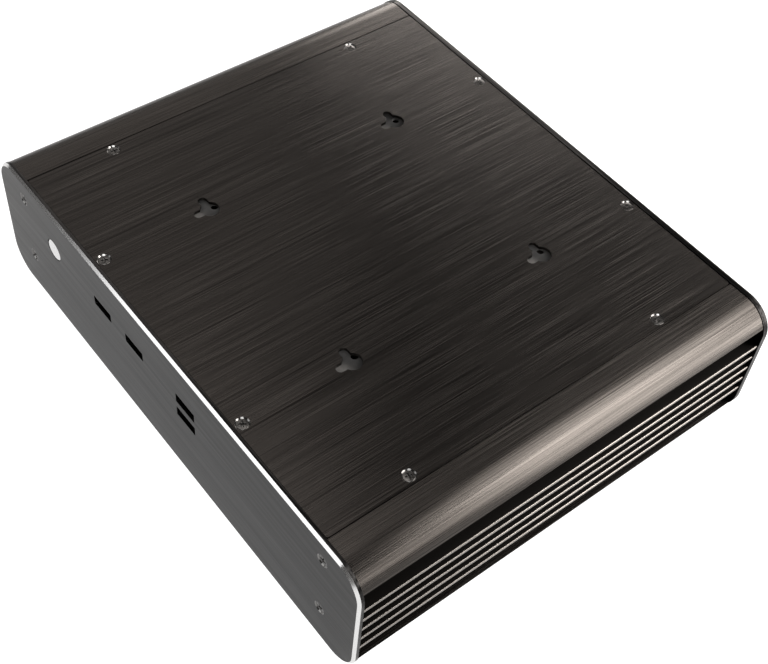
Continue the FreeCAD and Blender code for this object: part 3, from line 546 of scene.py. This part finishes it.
# Base panel and top cover
# The base panel is aluminium sheet, brushed from front to rear and anodised, with four double keyholes.
# The top cover is a thicker plate with the same finish that slides between the heatsinks.
panel_dark = (0.014, 0.0126, 0.0119)
panel_light = (0.071, 0.0652, 0.0608)
base_panel_top = 0.0677
side_screw_place = (0.10365, 0.06485)
end_screw_place = (0.04985, 0.10105)
base_screw_places = [(x * side, y * end) for x, y in (side_screw_place, end_screw_place)
                     for side in (-1, 1) for end in (-1, 1)]
base_screw_seat = base_panel_top - seat_depth


# The panel's faces milled aslant get the sink tone, bare metal darkened as painted shade
def milled_panel(tree, colour, gloss, height):
    return milled_faces(tree, colour, gloss, height, (0, 0, 1), sink_painted_shade)


panel_metal = brushed_metal(
    "panel_metal", along_case, panel_dark, panel_light, roughness=0.24, relief=0.00004, contrast=1.3,
    change=milled_panel)
dress(panel_metal, "base_panel", "top_cover")
sunk_screws("base_screws", [Matrix.Translation((x, y, base_screw_seat)) for x, y in base_screw_places],
            "base_panel_screws")


# Camera
# It stands where the photograph was taken from, high over the front right corner.
# Its place, its three directions and its focal length were solved from the corners of the case.
photo_focal_pixels = 1301.465
photo_width_pixels = 768
camera_place = (0.28613, -0.25347, 0.464)
camera_data = bpy.data.cameras.new("camera")
camera_data.sensor_width = 36.0
camera_data.lens = photo_focal_pixels * camera_data.sensor_width / photo_width_pixels
camera = bpy.data.objects.new("camera", camera_data)
right = Vector((0.61440, 0.78603, 0.06827))
down = Vector((0.63512, -0.44139, -0.63388))
forward = Vector((-0.46811, 0.43282, -0.77041))
facing = Matrix((right, -down, -forward)).transposed()
camera.matrix_world = Matrix.Translation(camera_place) @ facing.to_4x4()
bpy.context.scene.collection.objects.link(camera)
bpy.context.scene.camera = camera


# Floor
# A table laid with white lit paper, which the case lies on with its underside up.
# To the camera it is as bright as the backdrop, and in what the case mirrors it is dimmer.
half_floor = 4.0
paper_tone = (0.25, 0.25, 0.25, 1.0)
paper_glow = (1.0, 1.0, 1.0, 1.0)
seen_brightness = 1.0
mirrored_brightness = 0.65
floor_mesh = bpy.data.meshes.new("floor")
floor_mesh.from_pydata(
    [(-half_floor, -half_floor, 0), (half_floor, -half_floor, 0), (half_floor, half_floor, 0),
     (-half_floor, half_floor, 0)], [], [(0, 1, 2, 3)])
floor = bpy.data.objects.new("floor", floor_mesh)
bpy.context.scene.collection.objects.link(floor)
paper, paper_tree, paper_shader = new_material("paper")
paper_shader.inputs["Base Color"].default_value = paper_tone
paper_shader.inputs["Roughness"].default_value = 0.9
paper_shader.inputs["Emission Color"].default_value = paper_glow
looked_at = place(paper_tree, "ShaderNodeLightPath").outputs["Is Camera Ray"]
brightness = mix_number(paper_tree, looked_at, mirrored_brightness, seen_brightness)
paper_tree.links.new(brightness, paper_shader.inputs["Emission Strength"])
floor_mesh.materials.append(paper)


# Lights
# Soft boxes stand round the table in a dim room. Four at the right give the long light on the shoulder,
# the three at the rear and overhead light the base panel, and the last two the front edge and the sinks.
box_distance = 1.6
white = (1.0, 1.0, 1.0)
warm = (1.0, 0.96, 0.92)
warmer = (1.0, 0.95, 0.91)
room_tint = (1.0, 0.96, 0.93, 1.0)
low_glow = 0.10
high_glow = 0.03
glow_starts = 0.15
glow_ends = 0.95
backdrop_brightness = 1.0


def soft_box(name, azimuth, elevation, width, height, radiance, tint):
    light = bpy.data.lights.new(name, "AREA")
    light.shape = "RECTANGLE"
    light.size = width
    light.size_y = height
    light.energy = radiance * math.pi * width * height
    light.color = tint
    lamp = bpy.data.objects.new(name, light)
    turn = math.radians(azimuth)
    rise = math.radians(elevation)
    away = Vector((math.cos(turn) * math.cos(rise), math.sin(turn) * math.cos(rise), math.sin(rise)))
    lamp.location = away * box_distance
    lamp.rotation_euler = away.to_track_quat("Z", "Y").to_euler()
    bpy.context.scene.collection.objects.link(lamp)


soft_box("right_key_box", azimuth=40, elevation=40, width=0.46, height=0.46, radiance=17.0, tint=warm)
soft_box("right_low_box", azimuth=42, elevation=8, width=0.9, height=0.46, radiance=9.0, tint=warm)
soft_box("right_middle_box", azimuth=30, elevation=24, width=0.9, height=0.46, radiance=6.0, tint=warm)
soft_box("right_high_box", azimuth=68, elevation=50, width=0.7, height=0.9, radiance=5.4, tint=warm)
soft_box("rear_box", azimuth=131, elevation=21, width=0.9, height=0.6, radiance=8.6, tint=warmer)
soft_box("rear_left_box", azimuth=168, elevation=36, width=1.0, height=1.3, radiance=0.62, tint=warmer)
soft_box("overhead_box", azimuth=160, elevation=73, width=0.6, height=0.6, radiance=2.0, tint=warmer)
soft_box("front_left_box", azimuth=248, elevation=15, width=0.9, height=0.7, radiance=1.6, tint=white)
soft_box("camera_side_box", azimuth=325, elevation=50, width=0.8, height=0.8, radiance=6.6, tint=white)

world = bpy.data.worlds.new("world")
world.use_nodes = True
sky = world.node_tree
direction = place(sky, "ShaderNodeTexCoord").outputs["Generated"]
height = place(sky, "ShaderNodeSeparateXYZ", {0: direction}).outputs["Z"]
glow = spread(sky, height, glow_starts, glow_ends, low_glow, high_glow)
seen = place(sky, "ShaderNodeLightPath").outputs["Is Camera Ray"]
sky.links.new(mix_number(sky, seen, glow, backdrop_brightness), sky.nodes["Background"].inputs["Strength"])
sky.nodes["Background"].inputs["Color"].default_value = room_tint
bpy.context.scene.world = world
bpy.context.scene.view_settings.view_transform = "Standard"
